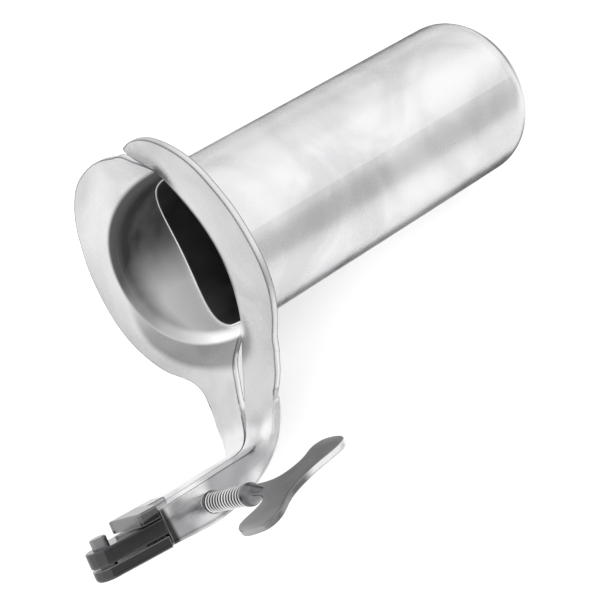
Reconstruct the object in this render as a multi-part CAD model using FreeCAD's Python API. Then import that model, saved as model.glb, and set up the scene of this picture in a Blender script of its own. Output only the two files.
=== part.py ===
import FreeCAD, Part
import math
import os

# Bivalve speculum: two half-tube valves on two handle arms, a take-apart
# knuckle hinge at the back, and a winged spreading screw.
# Everything is modelled in the instrument's own frame first, in millimetres:
# X = sideways (the right valve on +X), Y = along the tube towards its closed
# tip, Z = up, with the handle hanging below the tube (-Z).
# Last of all the assembly is turned and lowered onto the table as it lies.

os.makedirs("parts", exist_ok=True)
V = FreeCAD.Vector

# Sizes
TUBE_R = 20.0          # outside radius of the closed blade
WALL = 1.6             # sheet thickness of the valves
DOME_Y = 100.0         # where the straight tube meets the dome
DOME_RISE = 10.5       # how far the dome reaches beyond it
DOME_CORNER = 8.0      # bend radius between tube and dome
TIP_Y = DOME_Y + DOME_RISE     # closed end of the blade
FLANGE_T = 1.7         # flange thickness along the tube
FLARE_Y = 16.0         # from here to the mouth the tube widens a little,
FLARE = 0.3            # by this much at the mouth
MOUTH_BEND = 2.4       # bend between the tube's inside and the flange's face
BACK_BEND = 1.1        # and behind the flange
NECK_Z = -35.0         # where the valve is brazed to its arm
SEAM = 0.15            # each half stops this far from the seam plane

PIVOT = (0.0, -47.9, -42.6)   # hinge axis, at the top face of the tongue
HINGE_TILT = 5.0       # degrees the leaves rise towards the back
KNUCKLE_R = 14.0       # the knuckles' shoulder radius about the hinge
KNUCKLE_GAP = 0.3
LEAF_HALF = 5.3        # half width of the hinge leaves at the shoulders
LEAF_END = 3.75        # and of their round ends

SCREW_Y, SCREW_Z = -21.9, -47.2   # axis of the spreading screw, along X
THREAD_R = 2.35
PITCH = 1.06


def spline(points, tangents=None):
    curve = Part.BSplineCurve()
    if tangents:
        curve.interpolate(Points=points, InitialTangent=tangents[0],
                          FinalTangent=tangents[1])
    else:
        curve.interpolate(points)
    return curve.toShape()


def mirror_x(shape):
    return shape.mirror(V(0, 0, 0), V(1, 0, 0))


# Valve
def widening(y):
    # how much wider the tube is at y than along its straight part
    return FLARE * max(0.0, FLARE_Y - y) / FLARE_Y


# Half section of the blade, turned about the tube axis: dome and tube.
def blade_section():
    start_y = -3 * FLANGE_T

    def skin(off):
        # off = 0 for the outside skin, WALL for the inside one
        r = TUBE_R - off
        corner = DOME_CORNER - off
        k = (TUBE_R - DOME_CORNER, DOME_Y)      # centre of the corner bend
        # the cap's radius lets it meet the corner bend at a tangent
        rise = DOME_RISE - DOME_CORNER
        big = (k[0] ** 2 + rise ** 2) / (2 * rise) + DOME_CORNER
        cap, cap_y = big - off, TIP_Y - big
        d = math.hypot(k[0], k[1] - cap_y)
        ux, uy = k[0] / d, (k[1] - cap_y) / d
        tip = V(0, cap_y + cap, 0)
        join = V(ux * cap, cap_y + uy * cap, 0)
        half = math.atan2(ux, uy) / 2
        mid_cap = V(cap * math.sin(half), cap_y + cap * math.cos(half), 0)
        turn = math.radians(90) - 2 * half
        mid_corner = V(k[0] + corner * math.cos(turn / 2),
                       k[1] + corner * math.sin(turn / 2), 0)
        end_corner = V(r, DOME_Y, 0)
        flare = V(r, FLARE_Y, 0)
        start = V(r + widening(start_y), start_y, 0)
        return [Part.Arc(tip, mid_cap, join).toShape(),
                Part.Arc(join, mid_corner, end_corner).toShape(),
                Part.LineSegment(end_corner, flare).toShape(),
                Part.LineSegment(flare, start).toShape()], tip, start

    outer, tip_o, end_o = skin(0.0)
    inner, tip_i, end_i = skin(WALL)
    edges = outer + inner + [Part.LineSegment(tip_o, tip_i).toShape(),
                             Part.LineSegment(end_o, end_i).toShape()]
    return Part.Face(Part.Wire(Part.__sortEdges__(edges)))


# The mouth is not flat.  At the sides the flange stands square to the tube;
# towards the seam it is swept back like a lip, and below it runs on down the
# neck.  LIP gives how far back its face lies at the seam, by distance from
# the tube's axis; SIDE gives the same at the sides.
LIP = [(17.0, 10.3), (19.0, 9.7), (21.0, 8.6), (23.0, 6.9), (25.0, 5.1),
       (26.5, 3.9), (28.5, 2.8), (30.5, 1.7), (33.5, 0.2), (37.0, -1.5),
       (44.0, -4.9)]
SIDE = [(17.0, -0.85), (22.0, -0.75), (31.0, -0.25), (44.0, 0.3)]


def table(rows, at):
    for (x0, y0), (x1, y1) in zip(rows, rows[1:]):
        if at <= x1:
            break
    return y0 + (y1 - y0) * (at - x0) / (x1 - x0)


def face_depth(x, z):
    # how far back the flange's face lies, seen along the tube
    r = (math.hypot(x, z) ** 8 + 14.0 ** 8) ** 0.125
    swept = max(0.0, 1 - 0.94 * x / r) ** 1.5
    depth = table(LIP, r) * swept + table(SIDE, r) * (1 - swept)
    t = min(1.0, max(0.0, (-z - 21.0) / 12.0))
    neck = t * t * (3 - 2 * t)
    return depth * (1 - neck) + table(LIP, max(17.0, -z)) * neck


def flange_face():
    xs = [-3.0 + 2.2 * i for i in range(18)]
    zs = [-40.0 + 2.2 * i for i in range(35)]
    surface = Part.BSplineSurface()
    surface.interpolate([[V(x, face_depth(x, z), z) for z in zs] for x in xs])
    return surface.toShape()


# Front outline of a half, looking along the tube: the flange's rim from its
# rounded corner at the top round to the neck, and the inner edge with the
# long gap below the mouth and the little V above it.  The two flanges were
# trimmed by hand, so their tops differ.
RIM = [(18.5, 25.5), (22.4, 22.3), (25.7, 18.2), (28.2, 13.0), (30.1, 7.4),
       (30.95, 2.0), (31.1, -3.2), (30.5, -7.9), (29.0, -12.4),
       (26.6, -16.5), (22.7, -21.0), (18.4, -25.0), (14.9, -29.2),
       (12.9, -33.0), (12.2, NECK_Z)]
RIGHT_TOP = [(3.3, 28.6), (6.5, 29.1), (10.0, 28.9), (13.8, 28.0)]
LEFT_TOP = [(3.4, 27.5), (6.5, 28.25), (10.0, 28.3), (13.8, 27.5)]
GAP = [(SEAM, -20.2), (1.3, -22.8), (1.95, -25.8), (1.7, -29.5),
       (1.25, -33.0), (0.95, NECK_Z)]


def front_prism(top):
    start = top[0]
    notch = [V(SEAM, 0, 21.4), V(0.45, 0, start[1] - 4.4),
             V(0.95, 0, start[1] - 2.0)]
    rim = [V(x, 0, z) for x, z in top + RIM]
    gap = [V(x, 0, z) for x, z in GAP]
    edges = [
        Part.LineSegment(gap[0], notch[0]).toShape(),
        spline(notch),
        Part.Arc(notch[-1], V(1.55, 0, start[1] - 0.6), rim[0]).toShape(),
        spline(rim, (V(1, 0, 0.25), V(-0.3, 0, -1))),
        Part.LineSegment(rim[-1], gap[-1]).toShape(),
        spline(gap),
    ]
    face = Part.Face(Part.Wire(Part.__sortEdges__(edges)))
    prism = face.extrude(V(0, TIP_Y + 60, 0))
    prism.translate(V(0, -30, 0))
    return prism


def radial(point):
    return math.hypot(point.x, point.z)


def edges_at(shape, radius, shift):
    # the edges where the tube's skin of this radius meets the flange
    found = []
    for edge in shape.Edges:
        u0, u1 = edge.ParameterRange
        inside = [edge.valueAt(u0 + (u1 - u0) * k) for k in (0.2, 0.5, 0.8)]
        if all(abs(radial(p) - radius - widening(p.y)) < 0.02
               and abs(p.y - face_depth(p.x, p.z) - shift) < 0.3
               for p in inside) and edge.Length > 5:
            found.append(edge)
    return found


def rounded(shape, radius, edges, what):
    # round the edges where the kernel can; the sharp shape otherwise
    try:
        made = shape.makeFillet(radius, edges)
        if made.isValid() and made.Volume > 0.5 * shape.Volume:
            return made
    except Exception:
        pass
    print("left sharp:", what)
    return shape


def make_valve(top):
    face = flange_face()
    ahead = face.extrude(V(0, -40, 0))
    plate = face.extrude(V(0, FLANGE_T, 0))
    ends = (-30.0, FLARE_Y)
    bore = Part.makeCone(TUBE_R - WALL + widening(ends[0]),
                         TUBE_R - WALL, ends[1] - ends[0],
                         V(0, ends[0], 0), V(0, 1, 0))
    half = front_prism(top)
    blade = blade_section().revolve(V(0, 0, 0), V(0, 1, 0), 360)
    blade = blade.common(half).cut(ahead)
    flange = plate.common(half).cut(bore)
    valve = blade.fuse(flange).removeSplitter()
    valve = valve.Solids[0]
    valve = rounded(valve, MOUTH_BEND, edges_at(valve, TUBE_R - WALL, 0.0),
                    "mouth bend")
    return rounded(valve, BACK_BEND, edges_at(valve, TUBE_R, FLANGE_T),
                   "back bend")


# Arms
# The right arm is lofted from the flat neck, where the valve is brazed on,
# through the bend into the straight bar.  Each station gives the front and
# the back of a section in (y, z), where it starts in x, where its ridge is,
# how far it reaches, and how far the outer corner is laid back.
STATIONS = [
    ((-0.55, -35.0), (1.85, -35.0), 0.95, 6.2, 12.2, 0.02),
    ((-1.65, -37.4), (0.85, -38.4), 0.60, 6.0, 11.5, 0.05),
    ((-3.10, -40.2), (-0.95, -42.0), 0.30, 5.7, 10.3, 0.35),
    ((-5.50, -42.3), (-3.80, -45.5), SEAM, 5.5, 8.7, 1.3),
    ((-8.60, -42.8), (-7.10, -48.3), SEAM, 5.4, 7.0, 2.4),
    ((-12.2, -42.7), (-11.4, -50.4), SEAM, 5.3, 6.0, 3.2),
    ((-16.6, -42.5), (-16.4, -51.4), SEAM, 5.3, 5.6, 3.6),
    ((-21.5, -42.4), (-21.5, -51.6), SEAM, 5.3, 5.5, 3.7),
    ((-26.5, -42.2), (-26.5, -51.3), SEAM, 5.3, 5.5, 3.6),
    ((-31.5, -42.0), (-31.5, -50.6), SEAM, 5.3, 5.5, 3.4),
    ((-36.5, -41.9), (-36.5, -49.8), SEAM, 5.3, 5.5, 3.2),
]


def softened(corners, softness):
    # a closed outline whose corners are softened by this much, 0 = sharp
    edges, last = [], None
    first = None
    count = len(corners)
    for i, (corner, soft) in enumerate(zip(corners, softness)):
        before, after = corners[i - 1], corners[(i + 1) % count]
        if soft:
            come = corner + (before - corner).normalize() * soft
            go = corner + (after - corner).normalize() * soft
        else:
            come = go = corner
        if last is not None:
            edges.append(Part.LineSegment(last, come).toShape())
        else:
            first = come
        if soft:
            bend = Part.BezierCurve()
            bend.setPoles([come, corner, go])
            edges.append(bend.toShape())
        last = go
    edges.append(Part.LineSegment(last, first).toShape())
    return Part.Wire(edges)


def station_wire(front, back, start, ridge, reach, laid):
    f = V(0, front[0], front[1])
    b = V(0, back[0], back[1])
    deep = (b - f).Length
    down = (b - f).normalize()
    x = V(1, 0, 0)
    soft = min(1.3, 0.28 * deep)
    return softened([f + x * start, f + x * ridge,
                     f + x * reach + down * laid, b + x * reach,
                     b + x * start],
                    [0, 0.3, 0.6 * soft, soft, 0])


def arm_blank():
    wires = [station_wire(*s) for s in STATIONS]
    return Part.makeLoft(wires, True, False)


# The hinge is drawn about its own axis, z = 0 at the tongue's top face, and
# then tilted into the handle.
TONGUE = (-3.55, 0.0)        # right arm's leaf, between the left arm's two
LOWER = (-6.75, -4.05)       # left arm's leaf under it
LUG = (0.3, 3.1)             # left arm's short lug over it
PIN_R = 1.9


def hinge_place(shape):
    shape.rotate(V(0, 0, 0), V(1, 0, 0), -HINGE_TILT)
    shape.translate(V(*PIVOT))
    return shape


def leaf(z0, z1):
    # a hinge leaf: a tapered bar with a full round end about the pivot
    plan = Part.makePolygon([V(-LEAF_END, 0, z0), V(-LEAF_HALF, 13.0, z0),
                             V(-LEAF_HALF, 19, z0), V(LEAF_HALF, 19, z0),
                             V(LEAF_HALF, 13.0, z0), V(LEAF_END, 0, z0),
                             V(-LEAF_END, 0, z0)])
    bar = Part.Face(plan).extrude(V(0, 0, z1 - z0))
    end = Part.makeCylinder(LEAF_END, z1 - z0, V(0, 0, z0))
    return bar.fuse(end).removeSplitter()


def disc(r, z0=-15, z1=15):
    return Part.makeCylinder(r, z1 - z0, V(0, 0, z0))


def half_side(shape, sign):
    # keep the part of a leaf on one side of the seam plane
    box = Part.makeBox(30, 80, 60, V(SEAM if sign > 0 else -SEAM - 30,
                                     -40, -30))
    return shape.common(box)


def knuckled(blank, pieces):
    # cut the bar back to the shoulder and add its leaves
    arm = blank.cut(hinge_place(disc(KNUCKLE_R + KNUCKLE_GAP)))
    for piece in pieces:
        arm = arm.fuse(hinge_place(piece))
    return arm


def flat_edges(shape, z):
    # the edges that lie in one level plane
    return [e for e in shape.Edges if abs(e.BoundBox.ZMin - z) < 1e-5
            and abs(e.BoundBox.ZMax - z) < 1e-5]


def make_right_arm():
    tongue = leaf(*TONGUE)
    tongue = rounded(tongue, 0.3, flat_edges(tongue, TONGUE[1])
                     + flat_edges(tongue, TONGUE[0]), "tongue")
    arm = knuckled(arm_blank(), [tongue.common(disc(KNUCKLE_R))
                                 .fuse(half_side(tongue, 1))])
    arm = arm.cut(hinge_place(disc(PIN_R + 0.05)))
    bore = Part.makeCylinder(THREAD_R + 0.05, 12,
                             V(-2, SCREW_Y, SCREW_Z), V(1, 0, 0))
    return arm.cut(bore)


def make_left_arm():
    lower = leaf(*LOWER)
    lower = rounded(lower, 1.1, flat_edges(lower, LOWER[0]), "lower leaf")
    plan = Part.makePolygon([V(-LEAF_HALF, 6.9, LUG[0]), V(LEAF_HALF, 8.4, LUG[0]),
                             V(LEAF_HALF, 19, LUG[0]), V(-LEAF_HALF, 19, LUG[0]),
                             V(-LEAF_HALF, 6.9, LUG[0])])
    lug = Part.Face(plan).extrude(V(0, 0, LUG[1] - LUG[0]))
    lug = rounded(lug, 0.4, flat_edges(lug, LUG[1]), "lug")
    arm = knuckled(mirror_x(arm_blank()),
                   [lower.common(disc(KNUCKLE_R)).fuse(half_side(lower, -1)),
                    lug.common(disc(KNUCKLE_R)).fuse(half_side(lug, -1))])
    pin_hole = Part.makeCylinder(PIN_R, 6, V(0, 0, LOWER[0] - 1))
    return arm.cut(hinge_place(pin_hole))


def make_pin():
    low, high = LOWER[0], TONGUE[1] + 2.3
    pin = Part.makeCylinder(PIN_R, high - low, V(0, 0, low))
    top = [e for e in pin.Edges if abs(e.BoundBox.ZMin - high) < 1e-6
           and e.Closed]
    return hinge_place(pin.makeFillet(0.45, top[:1]))


# Screw
# The nose is the plain end of the spreading screw; it bears on the inner
# face of the left arm.
NOSE_X0 = -SEAM + 0.05
NOSE_X1 = 1.2


def along_x(profile):
    # profile: (x, radius) pairs, turned about the screw's axis
    pts = [V(x, r, 0) for x, r in profile]
    pts = [V(profile[0][0], 0, 0)] + pts + [V(profile[-1][0], 0, 0)]
    wire = Part.makePolygon(pts + [pts[0]])
    body = Part.Face(wire).revolve(V(0, 0, 0), V(1, 0, 0), 360)
    body.translate(V(0, SCREW_Y, SCREW_Z))
    return body


def make_nose():
    # a ball-ended pin, so it rolls on the left arm as the arms open
    ball, r = 2.0, 1.7
    d = ball - math.sqrt(ball * ball - r * r)
    m = 0.5 * math.asin(r / ball)
    tip, edge = V(NOSE_X0, 0, 0), V(NOSE_X0 + d, r, 0)
    mid = V(NOSE_X0 + ball * (1 - math.cos(m)), ball * math.sin(m), 0)
    back = V(NOSE_X1, r, 0)
    base = V(NOSE_X1, 0, 0)
    wire = Part.Wire([Part.Arc(tip, mid, edge).toShape(),
                      Part.LineSegment(edge, back).toShape(),
                      Part.LineSegment(back, base).toShape(),
                      Part.LineSegment(base, tip).toShape()])
    body = Part.Face(wire).revolve(V(0, 0, 0), V(1, 0, 0), 360)
    body.translate(V(0, SCREW_Y, SCREW_Z))
    return body


THREAD_END = 16.4
BOSS_END = 23.4


def make_spindle():
    start = NOSE_X1 + 0.05
    return along_x([(start, 1.7), (start + 0.65, THREAD_R),
                    (THREAD_END, THREAD_R)])


# The wing's outline in its own plane: x along the screw, w across it.  It is
# soldered to the screw a little askew, and its two lobes are not quite alike.
WING_TILT = 7.6
WING_T = 1.6
WING = [(17.0, 2.5), (22.8, 3.1), (26.8, 4.4), (28.5, 7.2), (28.6, 10.9),
        (27.8, 14.2), (29.0, 16.2), (32.0, 16.9), (36.0, 16.4), (38.7, 14.4),
        (39.1, 11.5), (38.0, 7.3), (37.5, 2.1), (38.1, -2.0), (39.5, -5.2),
        (41.5, -8.4), (42.6, -11.4), (42.0, -13.9), (39.4, -15.2),
        (36.3, -15.7), (33.0, -14.7), (31.0, -12.5), (30.9, -10.0),
        (31.0, -7.0), (30.2, -4.7), (28.2, -2.9), (24.5, -1.8), (17.0, -1.5)]


def wing_place(shape):
    # the wing lies in the plane of X and a line tilted up from Y
    shape.rotate(V(0, 0, 0), V(1, 0, 0), WING_TILT)
    shape.translate(V(0, SCREW_Y, SCREW_Z))
    return shape


def wing_blank():
    points = [V(x, w, 0) for x, w in WING]
    face = Part.Face(Part.Wire([
        spline(points), Part.LineSegment(points[-1], points[0]).toShape()]))
    plate = face.extrude(V(0, 0, WING_T))
    plate.translate(V(0, 0, -WING_T / 2))
    return plate


def make_wing():
    plate = wing_blank()
    rim = [e for e in flat_edges(plate, -WING_T / 2)
           + flat_edges(plate, WING_T / 2) if e.Length > 20]
    return wing_place(rounded(plate, 0.4, rim, "wing"))


def make_boss():
    boss = along_x([(THREAD_END, THREAD_R), (THREAD_END + 0.8, THREAD_R + 0.2),
                    (THREAD_END + 1.6, THREAD_R), (BOSS_END, 0.9)])
    return boss.cut(make_wing())


# Assembly
right_valve = make_valve(RIGHT_TOP)
right_arm = make_right_arm()
nodes = {
    "left_valve": mirror_x(make_valve(LEFT_TOP)),
    "left_arm": make_left_arm(),
    "pivot_pin": make_pin(),
    "right_valve": right_valve,
    "right_arm": right_arm,
    "screw_nose": make_nose(),
    "threaded_spindle": make_spindle(),
    "wing_boss": make_boss(),
    "wing_plate": make_wing(),
}

# How the closed speculum lies on the table: on its left side, touching with
# the left flange, the bend of the left arm and the side of the blade's tip.
REST_TURN = [(V(0, 1, 0), -56.741), (V(1, 0, 0), -6.529)]
LIFT = V(-16.6143, -27.6097, 31.2938)

for name, shape in nodes.items():
    for axis, angle in REST_TURN:
        shape.rotate(V(0, 0, 0), axis, angle)
    shape.translate(LIFT)
    if len(shape.Solids) == 1:
        shape = shape.Solids[0]
    shape.exportStep("parts/%s.step" % name)
    box = shape.BoundBox
    print(name, len(shape.Solids), "valid", shape.isValid(),
          "volume %.1f" % shape.Volume,
          "box %.2f %.2f %.2f / %.2f %.2f %.2f" % (
              box.XMin, box.YMin, box.ZMin, box.XMax, box.YMax, box.ZMax))
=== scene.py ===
import math

import bmesh
import bpy
from mathutils import Matrix, Vector


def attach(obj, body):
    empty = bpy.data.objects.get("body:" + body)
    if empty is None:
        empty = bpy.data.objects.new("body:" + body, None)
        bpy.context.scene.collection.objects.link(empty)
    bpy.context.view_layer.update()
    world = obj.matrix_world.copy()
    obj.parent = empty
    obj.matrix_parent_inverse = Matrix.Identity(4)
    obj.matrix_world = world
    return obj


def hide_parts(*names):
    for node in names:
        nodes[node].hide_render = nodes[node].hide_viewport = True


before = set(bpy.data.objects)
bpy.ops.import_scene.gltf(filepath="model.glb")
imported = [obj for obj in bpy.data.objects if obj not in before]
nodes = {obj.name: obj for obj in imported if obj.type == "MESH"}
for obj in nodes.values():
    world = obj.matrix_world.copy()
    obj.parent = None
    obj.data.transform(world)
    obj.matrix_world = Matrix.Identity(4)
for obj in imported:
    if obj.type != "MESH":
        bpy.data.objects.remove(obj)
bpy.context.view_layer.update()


# Camera
# A long lens looking down at the speculum from behind its handle, turned a
# little so the blade rises to the upper right of a square picture.
camera_data = bpy.data.cameras.new("camera")
camera_data.lens = 114.3125
camera_data.sensor_width = 36.0
camera_data.clip_start = 0.01
camera = bpy.data.objects.new("camera", camera_data)
bpy.context.scene.collection.objects.link(camera)
camera_right = Vector((0.698906, 0.699709, 0.148114))
camera_up = Vector((-0.631397, 0.506348, 0.587324))
camera_back = Vector((0.335959, -0.504003, 0.795684))
camera_at = Vector((0.149057, -0.223158, 0.36665))
camera.matrix_world = Matrix.Translation(camera_at) @ Matrix(
    (camera_right, camera_up, camera_back)).transposed().to_4x4()
bpy.context.scene.camera = camera
bpy.context.scene.view_settings.view_transform = "Standard"


# Table
# A matt white table top that runs out of the picture on every side.  Seen
# directly or in gloss it glows a little, so it looks white around the shadow.
def grey(tone):
    return (tone, tone, tone, 1.0)


class Value:
    """A socket whose arithmetic adds Math nodes to its tree."""

    def __init__(self, finish, socket):
        self.finish, self.socket = finish, socket

    def math(self, operation, *others):
        return self.finish.node("ShaderNodeMath", {"operation": operation},
                                {i: v for i, v in enumerate((self,) + others)})

    def __add__(self, other): return self.math("ADD", other)
    def __sub__(self, other): return self.math("SUBTRACT", other)
    def __mul__(self, other): return self.math("MULTIPLY", other)
    def __truediv__(self, other): return self.math("DIVIDE", other)
    def __radd__(self, other): return self.math("ADD", other)
    def __rsub__(self, other): return (self * -1.0).math("ADD", other)

    def step(self, low, high):
        """0 below low, 1 above high, smooth between."""
        return self.finish.node(
            "ShaderNodeMapRange", {"interpolation_type": "SMOOTHSTEP"},
            {"Value": self, "From Min": low, "From Max": high})


class Finish:
    """A material and the one method that adds nodes to it."""

    def __init__(self, name):
        self.material = bpy.data.materials.new(name)
        self.material.use_nodes = True
        self.tree = self.material.node_tree
        self.tree.nodes.clear()

    def node(self, kind, settings=None, sockets=None, out=0):
        made = self.tree.nodes.new(kind)
        for key, value in (settings or {}).items():
            setattr(made, key, value)
        for key, value in (sockets or {}).items():
            if isinstance(value, Value):
                self.tree.links.new(value.socket, made.inputs[key])
            else:
                made.inputs[key].default_value = value
        return Value(self, made.outputs[out]) if made.outputs else None

    def output(self, kind, name):
        """A new node's output, by its name."""
        return Value(self, self.tree.nodes.new(kind).outputs[name])

    def noise(self, at, scale, detail=2.0, rough=0.5, warp=0.0):
        return self.node("ShaderNodeTexNoise", None,
                         {"Vector": at, "Scale": scale, "Detail": detail,
                          "Roughness": rough, "Distortion": warp})

    def shade(self, factor, low, high):
        """A colour between two, by factor."""
        return self.node("ShaderNodeMix", {"data_type": "RGBA"},
                         {0: factor, 6: low, 7: high}, out=2)

    def surface(self, shader):
        self.node("ShaderNodeOutputMaterial", None, {"Surface": shader})
        return self.material


TABLE_HALF = 3.0
table_mesh = bpy.data.meshes.new("table_top")
table_mesh.from_pydata([(-TABLE_HALF, -TABLE_HALF, 0), (TABLE_HALF, -TABLE_HALF, 0),
                        (TABLE_HALF, TABLE_HALF, 0), (-TABLE_HALF, TABLE_HALF, 0)],
                       [], [(0, 1, 2, 3)])
table_top = bpy.data.objects.new("table_top", table_mesh)
bpy.context.scene.collection.objects.link(table_top)
white_table = Finish("white_table")
matt = white_table.node("ShaderNodeBsdfDiffuse", None,
                        {"Color": grey(0.93)})
CAMERA_GLOW, GLOSS_GLOW = 0.40, 0.22
light_path = white_table.tree.nodes.new("ShaderNodeLightPath").outputs
seen_direct = Value(white_table, light_path["Is Camera Ray"])
seen_in_gloss = Value(white_table, light_path["Is Glossy Ray"]).math(
    "MAXIMUM", Value(white_table, light_path["Is Transmission Ray"]))
glow_seen = white_table.node(
    "ShaderNodeEmission", None,
    {"Color": grey(1.0),
     "Strength": seen_direct * CAMERA_GLOW + seen_in_gloss * GLOSS_GLOW})
table_top.data.materials.append(white_table.surface(
    white_table.node("ShaderNodeAddShader", None, {0: matt, 1: glow_seen})))


# Light
# A bright overcast room and three soft lamps, from the left, the front and
# the back.  Grey cards and mats, seen only in gloss, give the steel its tones.
ROOM_LIGHT, ROOM_SEEN = 0.55, 1.0
STAGE_CENTRE = Vector((0.0, 0.0, 0.02))
world = bpy.data.worlds.new("room")
bpy.context.scene.world = world
world.use_nodes = True
room = world.node_tree
room.nodes.clear()
room_light = room.nodes.new("ShaderNodeBackground")
room_light.inputs["Color"].default_value = (1, 1, 1, 1)
room_light.inputs["Strength"].default_value = ROOM_LIGHT
room_seen = room.nodes.new("ShaderNodeBackground")
room_seen.inputs["Color"].default_value = (1, 1, 1, 1)
room_seen.inputs["Strength"].default_value = ROOM_SEEN
room_path = room.nodes.new("ShaderNodeLightPath")
room_mix = room.nodes.new("ShaderNodeMixShader")
room_out = room.nodes.new("ShaderNodeOutputWorld")
seen_by = room_path.outputs["Is Camera Ray"]
for ray in ("Is Glossy Ray", "Is Transmission Ray"):
    either = room.nodes.new("ShaderNodeMath")
    either.operation = "MAXIMUM"
    room.links.new(seen_by, either.inputs[0])
    room.links.new(room_path.outputs[ray], either.inputs[1])
    seen_by = either.outputs[0]
room.links.new(seen_by, room_mix.inputs[0])
room.links.new(room_light.outputs[0], room_mix.inputs[1])
room.links.new(room_seen.outputs[0], room_mix.inputs[2])
room.links.new(room_mix.outputs[0], room_out.inputs["Surface"])


def soft_lamp(name, at, size, power):
    lamp = bpy.data.lights.new(name, "AREA")
    lamp.shape = "RECTANGLE"
    lamp.size, lamp.size_y = size
    lamp.energy = power
    holder = bpy.data.objects.new(name, lamp)
    bpy.context.scene.collection.objects.link(holder)
    holder.location = at
    aim = STAGE_CENTRE - Vector(at)
    holder.rotation_euler = aim.to_track_quat("-Z", "Y").to_euler()
    holder.visible_glossy = False


soft_lamp("left_lamp", (-0.85, 0.25, 0.85), (0.9, 0.7), 3.2)
soft_lamp("front_lamp", (0.25, -0.75, 0.55), (0.5, 0.4), 5.0)
soft_lamp("back_lamp", (0.25, 1.0, 0.9), (0.5, 0.35), 1.1)


def grey_card(name, at, size, tone, flat=False):
    card_mesh = bpy.data.meshes.new(name)
    w, h = size[0] / 2, size[1] / 2
    card_mesh.from_pydata([(-w, -h, 0), (w, -h, 0), (w, h, 0), (-w, h, 0)],
                          [], [(0, 1, 2, 3)])
    card = bpy.data.objects.new(name, card_mesh)
    bpy.context.scene.collection.objects.link(card)
    card.location = at
    if not flat:
        aim = STAGE_CENTRE - Vector(at)
        card.rotation_euler = aim.to_track_quat("-Z", "Y").to_euler()
    card.visible_camera = False
    card.visible_shadow = False
    card.visible_diffuse = False
    felt = Finish(name + "_felt")
    card_mesh.materials.append(felt.surface(
        felt.node("ShaderNodeEmission", None,
                  {"Color": grey(tone), "Strength": 1.0})))


grey_card("right_card", (0.98, 0.86, 0.34), (1.5, 0.66), 0.62)
grey_card("left_card", (-0.95, 0.75, 0.20), (1.5, 0.42), 0.80)
grey_card("back_card", (0.20, 0.80, 0.78), (1.2, 0.26), 1.22)
grey_card("left_mat", (-0.066, 0.072, 0.0008), (0.042, 0.150), 0.12, True)
grey_card("far_left_mat", (-0.230, 0.120, 0.0008), (0.280, 0.260), 0.70, True)
# right_mat is a painted shadow: the table's shade beside the blade, seen only in the steel's
# reflections
grey_card("right_mat", (0.005, 0.050, 0.0006), (0.011, 0.130), 0.14, True)


# Valves
# Two half tubes pressed from stainless sheet, with a flange swept back like a
# lip, hand polished to a soft satin with faint clouds.

# How the instrument's own axes, blade along Y and handle down, lie on the table.
REST_TURN = (Matrix.Rotation(math.radians(-6.529), 3, "X")
             @ Matrix.Rotation(math.radians(-56.741), 3, "Y"))
LIFT = Vector((-16.6143, -27.6097, 31.2938)) / 1000


class Steel(Finish):
    """Polished steel with faint clouds, and its parts for further work."""

    def __init__(self, name, light, dark, rough, cloud_scale=38.0, bump_depth=0.0012):
        super().__init__(name)
        self.at = self.output("ShaderNodeTexCoord", "Object")
        self.cloud = self.noise(self.at, cloud_scale, 3.0, 0.55, 0.6)
        self.patch = self.noise(self.at, cloud_scale * 3.2, 2.0, 0.5)
        grit = self.noise(self.at, 2600.0, 2.0, 0.6)
        self.colour = self.shade(self.cloud.step(0.34, 0.68), dark + (1.0,),
                                 light + (1.0,))
        self.roughness = (rough + (self.cloud - 0.5) * 0.16
                          + (self.patch - 0.5) * 0.10 + (grit - 0.5) * 0.10)
        height = self.cloud * 0.55 + self.patch * 0.25 + grit * 0.008
        self.bump = self.node(
            "ShaderNodeBump", None,
            {"Strength": 0.35, "Distance": bump_depth, "Height": height})

    def own_axes(self):
        """Object coordinates turned back to the instrument's own axes."""
        turned = self.node(
            "ShaderNodeMapping", {"vector_type": "TEXTURE"},
            {"Vector": self.at, "Location": LIFT, "Rotation": REST_TURN.to_euler()})
        split = self.node("ShaderNodeSeparateXYZ", None, {"Vector": turned})
        return [Value(self, axis) for axis in split.socket.node.outputs]

    def painted_edge_lines(self, colour, width, line=grey(0.07), most=0.9):
        """The colour with a thin painted line along an edge, standing for the reflection in
        its rounding.
        """
        eased = self.node("ShaderNodeBevel", {"samples": 6}, {"Radius": width})
        plain = self.output("ShaderNodeNewGeometry", "Normal")
        same = self.node("ShaderNodeVectorMath", {"operation": "DOT_PRODUCT"},
                         {0: eased, 1: plain}, out=1)
        return self.shade(same.step(0.99, 0.92) * most, colour, line)

    def polished(self, colour, roughness, metallic=1.0):
        """The finished material."""
        return self.surface(self.node(
            "ShaderNodeBsdfPrincipled", None,
            {"Base Color": colour, "Metallic": metallic, "Roughness": roughness,
             "Normal": self.bump}))


def distance(a, b):
    return (a * a + b * b).math("POWER", 0.5)


def dress(node, material):
    thing = nodes[node]
    thing.data.materials.clear()
    thing.data.materials.append(material)


LEAF_HALF, LEAF_END, LEAF_LONG = 0.0053, 0.00375, 0.0130
HINGE_Y, HINGE_Z = -0.0479, -0.0426
NECK_Z = -0.0350        # where a valve is brazed to its arm
# The flange's face: how quickly its sweep fades from the seam to the side,
# where it stands there, and the lip's depth at LIP_R with its two slopes.
FADE, FADE_POWER = 0.94, 1.5
SIDE_Y, SIDE_R, SIDE_SLOPE = -0.0008, 0.022, 0.056
LIP_DEPTH, LIP_R, LIP_BREAK_R = 0.0086, 0.021, 0.025
LIP_SLOPE, RIM_SLOPE = 0.875, 0.576


def lip_depth(r):
    """How far back the flange is swept at the seam, by distance r."""
    return LIP_DEPTH \
        - (r - LIP_R).math("MINIMUM", LIP_BREAK_R - LIP_R) * LIP_SLOPE \
        - (r - LIP_BREAK_R).math("MAXIMUM", 0.0) * RIM_SLOPE


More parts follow.
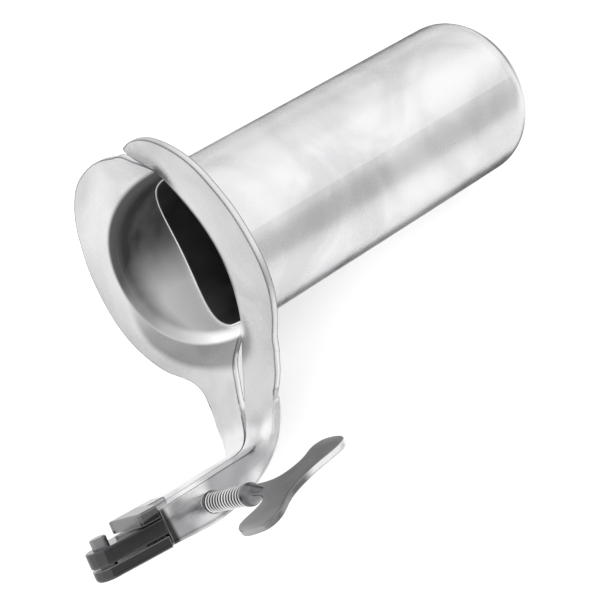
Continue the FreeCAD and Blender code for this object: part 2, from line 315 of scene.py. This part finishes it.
def valve_and_arm_steel(name):
    """Sheet and bar polished as one, with the tones that use leaves on it."""
    sheet = Steel(name, (0.86, 0.86, 0.87), (0.66, 0.66, 0.67), 0.28)
    x, y, z = sheet.own_axes()
    from_axis = distance(x, z)
    side = x.math("ABSOLUTE") / from_axis.math("MAXIMUM", 0.001)
    swept = (1.0 - side * FADE).math("POWER", FADE_POWER)
    neck = z.step(-0.0210, -0.0330)
    square = (from_axis - SIDE_R) * SIDE_SLOPE + SIDE_Y
    face = (lip_depth(from_axis) * swept + square * (1.0 - swept)) * (1.0 - neck) \
        + lip_depth(z * -1.0) * neck
    front = (y - face).step(0.0017, 0.0011)
    # the rim's own narrow face is left out of the painted shade, so it stays bright
    rim = (y - face).step(0.0004, 0.0007) * from_axis.step(0.0235, 0.0245)
    # the flange and what lies below it are painted darker than the blade, a painted shade
    # deepest in the bend below the mouth
    flange = from_axis.step(0.0203, 0.0212)
    right = x.step(-0.0004, 0.0004)
    below = z.step(0.0020, -0.0160)
    ring = from_axis - below * 0.0065
    bend = ring.step(0.0212, 0.0185) * flange * (1.0 - right) * below
    rimward = from_axis.step(0.0260, 0.0310) * (1.0 - right)
    painted_dark = (flange * (0.26 + right * 0.16) + bend * 0.80 + rimward * 0.10) * (1.0 - rim)
    plain = sheet.shade(painted_dark, grey(1.0), grey(0.40))
    outside = sheet.node("ShaderNodeMix", {"data_type": "RGBA", "blend_type": "MULTIPLY"},
                         {0: 1.0, 6: sheet.colour, 7: plain}, out=2)
    # the handle's bars carry a random mottle painted brighter and darker for their
    # highlights and shaded facets
    bar = z.step(NECK_Z, NECK_Z - 0.0070)
    painted_mottle = sheet.noise(sheet.at, 70.0, 2.0, 0.5, 0.2)
    bar_colour = sheet.shade(painted_mottle.step(0.38, 0.60), (0.34, 0.34, 0.35, 1.0),
                             (0.93, 0.93, 0.94, 1.0))
    outside = sheet.shade(bar * 0.85, outside, bar_colour)
    # the mouth's inside is brushed and uneven, with painted shade darkest above and painted
    # light below, brightest deeper in
    mouth = from_axis.step(0.0214, 0.0202) * front
    inside = mouth.math("MAXIMUM", from_axis.step(0.0196, 0.0190)) * y.step(-0.0100, -0.0080)
    low = z.step(0.0100, -0.0130)
    deep = y.step(0.0000, 0.0090)
    # painted shade where the sheet turns in at the side, painted light where it turns in
    # below
    painted_turn_shade = (y - face).step(0.0065, 0.0010) * z.step(-0.0150, -0.0060)
    painted_wall_tone = (0.08 + low * (0.30 + deep * 0.95) - painted_turn_shade * 0.22
                 + (sheet.cloud - 0.5) * 0.45 + (sheet.patch - 0.5) * 0.30)
    painted_wall_colour = sheet.shade(painted_wall_tone, grey(0.06), grey(1.0))
    # painted shade: the hinge leaves are painted dark, darkest on their flanks and nose,
    # less on the lug
    along = (y - HINGE_Y) / LEAF_LONG
    half = LEAF_END + along.math("MINIMUM", 1.0) * (LEAF_HALF - LEAF_END)
    leaf = y.step(-0.0328, -0.0340)
    flank = (x.math("ABSOLUTE") - half).step(-0.0006, -0.0001)
    nose = y.step(HINGE_Y - 0.0002, HINGE_Y - 0.0014)
    lug = (z - HINGE_Z).step(0.0002, 0.0006)
    painted_flank_shade = flank * (1.0 - lug * 0.80)
    leaf_colour = sheet.shade(painted_flank_shade.math("MAXIMUM", nose * 0.8),
                              (0.24, 0.24, 0.245, 1.0), (0.045, 0.045, 0.047, 1.0))
    skin = sheet.shade(leaf, outside, leaf_colour)
    # painted lines along the edges, painted shade on the sheet and painted highlight
    # on the dark leaves, but none along the joint between valve and arm
    line = sheet.shade(leaf, grey(0.06), grey(0.42))
    off_joint = (z - NECK_Z).math("ABSOLUTE").step(0.0008, 0.0014)
    skin = sheet.painted_edge_lines(skin, 0.00055, line, off_joint * (0.95 - leaf * 0.45))
    skin = sheet.shade(inside, skin, painted_wall_colour)
    return sheet.polished(skin, sheet.roughness + inside * 0.25 - bar * 0.08,
                          1.0 - inside * 0.8)


sheet_steel = valve_and_arm_steel("sheet_steel")
dress("left_valve", sheet_steel)
dress("right_valve", sheet_steel)


# Blade ends
# Inside the mouth each half blade ends in a curved edge that stands a little
# proud of the collar around it: furthest in at the side, near the lip at the
# seam.  Behind that edge the steel is painted dark for the deep shade in the
# bore, and the edge's nose carries a painted highlight.
BORE_R = 0.0184
END_R, INNER_R = 0.01836, 0.01790
SEAM = 0.00016
# the edge at the side, how far it comes forward at the seam, and its far end
END_DEEP, END_RISE, END_FAR = 0.017, 0.008, 0.098
LIP_RISE, BEHIND_LIP = 0.0107, 0.0003
END_TURNS = 64
# (radius, distance back) round the edge's rounded nose
END_NOSE = [(END_R, 0.0004), (END_R - 0.00008, 0.0001), (END_R - 0.0002, 0.0),
            (INNER_R + 0.00008, 0.00012), (INNER_R, 0.0004)]


def smoothed(mesh, sharp_angle):
    """Faces turned outwards and shaded smooth, up to an angle in degrees."""
    made = bmesh.new()
    made.from_mesh(mesh)
    bmesh.ops.recalc_face_normals(made, faces=made.faces)
    made.to_mesh(mesh)
    made.free()
    mesh.shade_smooth()
    mesh.set_sharp_from_angle(angle=math.radians(sharp_angle))


def skinned(name, rings, sharp_angle, material):
    """A closed piece over rings of points in the instrument's own axes."""
    count, last = len(rings[0]), len(rings) - 1
    points = [REST_TURN @ Vector(p) + LIFT for ring in rings for p in ring]
    faces = []
    for k in range(last):
        for j in range(count):
            a, b = k * count + j, k * count + (j + 1) % count
            faces.append((a, b, b + count, a + count))
    faces.append(tuple(range(count)))
    faces.append(tuple(last * count + j for j in range(count)))
    mesh = bpy.data.meshes.new(name)
    mesh.from_pydata(points, [], faces)
    smoothed(mesh, sharp_angle)
    mesh.materials.append(material)
    piece = bpy.data.objects.new(name, mesh)
    bpy.context.scene.collection.objects.link(piece)
    return piece


def blade_end(name, side, body):
    rings = []
    for k in range(END_TURNS + 1):
        half = math.asin(SEAM / INNER_R)
        angle = -math.pi / 2 + half + (math.pi - 2 * half) * k / END_TURNS
        c, s = math.cos(angle), math.sin(angle)
        swept = (1 - FADE * c) ** FADE_POWER
        lip = SIDE_Y + LIP_RISE * swept + BEHIND_LIP
        start = END_DEEP - END_RISE * ((s * BORE_R - 0.001) / 0.019) ** 2
        start = max(start, lip)
        ring = [(r * c * side, start + back, r * s) for r, back in END_NOSE]
        ring += [(INNER_R * c * side, END_FAR, INNER_R * s),
                 (END_R * c * side, END_FAR, END_R * s)]
        rings.append(ring)
    piece = skinned(name, rings, 50, painted_dark_steel)
    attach(piece, body)


painted_dark = Steel("painted_dark_steel", (0.34, 0.34, 0.35), (0.20, 0.20, 0.21), 0.42)
x, y, z = painted_dark.own_axes()
# painted highlight on the edge's nose, painted shade on the dark steel behind it
edge = distance(x, z).step(0.01792, 0.01800)
painted_dark_steel = painted_dark.polished(painted_dark.shade(edge, painted_dark.colour, grey(0.92)),
                           painted_dark.roughness, 1.0 - edge * 0.7)
blade_end("left_blade_end", -1, "left_half")
blade_end("right_blade_end", 1, "right_half")


# Arms
# Two forged bars, brazed to the valves and polished together with them, so
# they share one steel.  Its painted mottle and painted dark hinge begin below the neck.
dress("left_arm", sheet_steel)
dress("right_arm", sheet_steel)


# Hinge pin
# A short headless pin, turned, dark grey, with a painted highlight along its edges.
pin = Steel("pin_steel", (0.24, 0.24, 0.25), (0.12, 0.12, 0.13), 0.24)
dress("pivot_pin", pin.polished(pin.painted_edge_lines(pin.colour, 0.00025, grey(0.75), 0.6),
                                pin.roughness))


# Screw
# One screw turned from bar, with a coarse right-hand thread, a ball nose that
# bears on the left arm and a collar that the wing is soldered into.
SCREW_Y, SCREW_Z = -0.0219, -0.0472
THREAD_START, THREAD_END = 0.00125, 0.0190
THREAD_R = 0.00235
PITCH = 0.00106
CREST = 0.00050

screw = Steel("screw_steel", (0.90, 0.90, 0.90), (0.62, 0.62, 0.63), 0.20,
              120.0, 0.0004)
x, y, z = screw.own_axes()
# the thread's roots are painted near black, a painted shade between the crests
crest = distance(y - SCREW_Y, z - SCREW_Z).step(THREAD_R - 0.00030, THREAD_R - 0.00006)
thread_steel = screw.polished(screw.shade(crest, grey(0.03), screw.colour),
                              screw.roughness)


def geometry_tree(name, inputs):
    """A node tree with one geometry output and named number inputs."""
    tree = bpy.data.node_groups.new(name, "GeometryNodeTree")
    tree.interface.new_socket("Geometry", in_out="OUTPUT",
                              socket_type="NodeSocketGeometry")
    tree.interface.new_socket("Geometry", in_out="INPUT",
                              socket_type="NodeSocketGeometry")
    for label in inputs:
        tree.interface.new_socket(label, in_out="INPUT",
                                  socket_type="NodeSocketFloat")
    return tree


def place(tree, kind, sockets=None, **settings):
    made = tree.nodes.new(kind)
    for key, value in settings.items():
        setattr(made, key, value)
    for key, value in (sockets or {}).items():
        if isinstance(value, bpy.types.NodeSocket):
            tree.links.new(value, made.inputs[key])
        else:
            made.inputs[key].default_value = value
    return made


def grown(name, tree, values):
    """The plain mesh that a tree makes with these values."""
    base = bpy.data.objects.new(name, bpy.data.meshes.new(name))
    bpy.context.scene.collection.objects.link(base)
    growth = base.modifiers.new("growth", "NODES")
    growth.node_group = tree
    for item in tree.interface.items_tree:
        if item.in_out == "INPUT" and item.name in values:
            growth[item.identifier] = values[item.name]
    seen = bpy.context.evaluated_depsgraph_get()
    mesh = bpy.data.meshes.new_from_object(base.evaluated_get(seen))
    base.modifiers.clear()
    base.data = mesh
    return base


thread_tree = geometry_tree("thread", ["Root", "Crest", "Pitch", "Length"])
given = thread_tree.nodes.new("NodeGroupInput").outputs
turns = place(thread_tree, "ShaderNodeMath", {0: given["Length"], 1: given["Pitch"]},
              operation="DIVIDE")
helix = place(thread_tree, "GeometryNodeCurveSpiral",
              {"Resolution": 36, "Rotations": turns.outputs[0],
               "Start Radius": given["Root"], "End Radius": given["Root"],
               "Height": given["Length"]})
ridge = place(thread_tree, "GeometryNodeCurvePrimitiveCircle",
              {"Resolution": 4, "Radius": given["Crest"]})
upright = place(thread_tree, "GeometryNodeSetCurveNormal",
                {"Curve": helix.outputs[0]}, mode="Z_UP")
wound = place(thread_tree, "GeometryNodeCurveToMesh",
              {"Curve": upright.outputs[0], "Profile Curve": ridge.outputs[0],
               "Fill Caps": True})
core = place(thread_tree, "GeometryNodeMeshCylinder",
             {"Vertices": 48, "Side Segments": 1, "Radius": given["Root"],
              "Depth": given["Length"]})
half_length = place(thread_tree, "ShaderNodeMath", {0: given["Length"], 1: 2.0},
                    operation="DIVIDE")
rise = place(thread_tree, "ShaderNodeCombineXYZ", {"Z": half_length.outputs[0]})
raised = place(thread_tree, "GeometryNodeTransform",
               {"Geometry": core.outputs[0], "Translation": rise.outputs[0]})
joined = thread_tree.nodes.new("GeometryNodeJoinGeometry")
thread_tree.links.new(wound.outputs[0], joined.inputs[0])
thread_tree.links.new(raised.outputs[0], joined.inputs[0])
real = place(thread_tree, "GeometryNodeRealizeInstances",
             {"Geometry": joined.outputs[0]})
steeled = place(thread_tree, "GeometryNodeSetMaterial",
                {"Geometry": real.outputs[0], "Material": thread_steel})
thread_out = thread_tree.nodes.new("NodeGroupOutput")
thread_tree.links.new(steeled.outputs[0], thread_out.inputs[0])

screw_thread = grown("screw_thread", thread_tree,
                     {"Root": THREAD_R - CREST, "Crest": CREST, "Pitch": PITCH,
                      "Length": THREAD_END - THREAD_START})
along_x = Matrix.Rotation(math.radians(90), 4, "Y")
on_axis = Matrix.Translation((THREAD_START, SCREW_Y, SCREW_Z))
screw_thread.data.transform(Matrix.Translation(LIFT) @ REST_TURN.to_4x4()
                            @ on_axis @ along_x)
smoothed(screw_thread.data, 40)
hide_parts("threaded_spindle")
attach(screw_thread, "wing_screw")

# painted shade: the nose and collar are a darker copy of the screw's steel
collar = Steel("collar_steel", (0.30, 0.30, 0.31), (0.12, 0.12, 0.13), 0.34,
               160.0, 0.0006)
collar_steel = collar.polished(collar.colour, collar.roughness)
dress("screw_nose", collar_steel)

# (place along the screw, radius) of the soldered collar and its cone
COLLAR = [(0.0188, 0.00225), (0.0190, 0.00245), (0.0193, 0.00255),
          (0.0203, 0.00258), (0.0206, 0.00250), (0.0208, 0.00230), (0.0210, 0.00224),
          (0.0232, 0.00160), (0.0250, 0.00100), (0.0257, 0.00066), (0.0260, 0.00030)]
COLLAR_TURNS = 64
collar_rings = []
for along, radius in COLLAR:
    angles = [2 * math.pi * k / COLLAR_TURNS for k in range(COLLAR_TURNS)]
    collar_rings.append([(along, SCREW_Y + radius * math.cos(angle),
                          SCREW_Z + radius * math.sin(angle)) for angle in angles])
wing_collar = skinned("wing_collar", collar_rings, 35, collar_steel)
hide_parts("wing_boss")
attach(wing_collar, "wing_screw")


# Wing
# A flat two-lobed wing cut from plate, soldered on a little askew and painted
# darker than the rest for the grey it reflects, with a painted highlight on the
# rim of the lobe towards the blade's tip, painted light towards the tips and
# thin painted dark lines along its edges.
WING_TILT = math.radians(7.6)
WING_HALF_T = 0.0008

wing = Steel("wing_steel", (0.25, 0.25, 0.255), (0.17, 0.17, 0.175), 0.34,
             90.0, 0.0006)
x, y, z = wing.own_axes()
from_plane = ((z - SCREW_Z) * math.cos(WING_TILT)
              - (y - SCREW_Y) * math.sin(WING_TILT)).math("ABSOLUTE")
rim = from_plane.step(WING_HALF_T - 0.00006, WING_HALF_T - 0.00030)
tip = (y - SCREW_Y).math("ABSOLUTE").step(0.0125, 0.0175)
front_lobe = (y - SCREW_Y).step(0.0015, 0.0055)
# painted highlight on the front lobe's rim and painted light at the lobes' tips
wing_colour = wing.shade((rim * front_lobe).math("MAXIMUM", tip * 0.35),
                         wing.colour, grey(0.86))
dress("wing_plate", wing.polished(wing.painted_edge_lines(wing_colour, 0.00020, most=0.5),
                                  wing.roughness - rim * 0.1))
